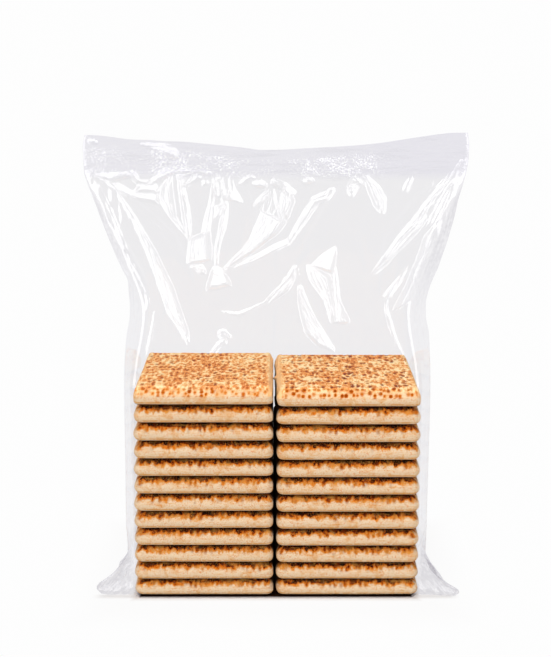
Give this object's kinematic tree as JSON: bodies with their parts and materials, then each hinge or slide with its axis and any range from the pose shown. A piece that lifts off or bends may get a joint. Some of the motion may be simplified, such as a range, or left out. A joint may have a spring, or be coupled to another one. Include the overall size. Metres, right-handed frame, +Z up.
{
  "type": "bag of square pita breads",
  "caption": "Clear heat-sealed film bag of square pita breads, standing in two neat stacks side by side, with a wide crumpled seal above and two bottom ears.",
  "frame": {"origin": "on the floor under the middle of the bag", "axes": "+Z up, -Y the front panel with the bottom seam, +X to the right of the front"},
  "size_m": [0.3176, 0.117, 0.3839],
  "materials": {
    "film": "thin clear plastic film, glossy, with crisp creases",
    "crust": "toasted flatbread crust, cream sides with brown scorch marks"
  },
  "bodies": {
    "root": {"bag": "film"}
  },
  "joints": []
}
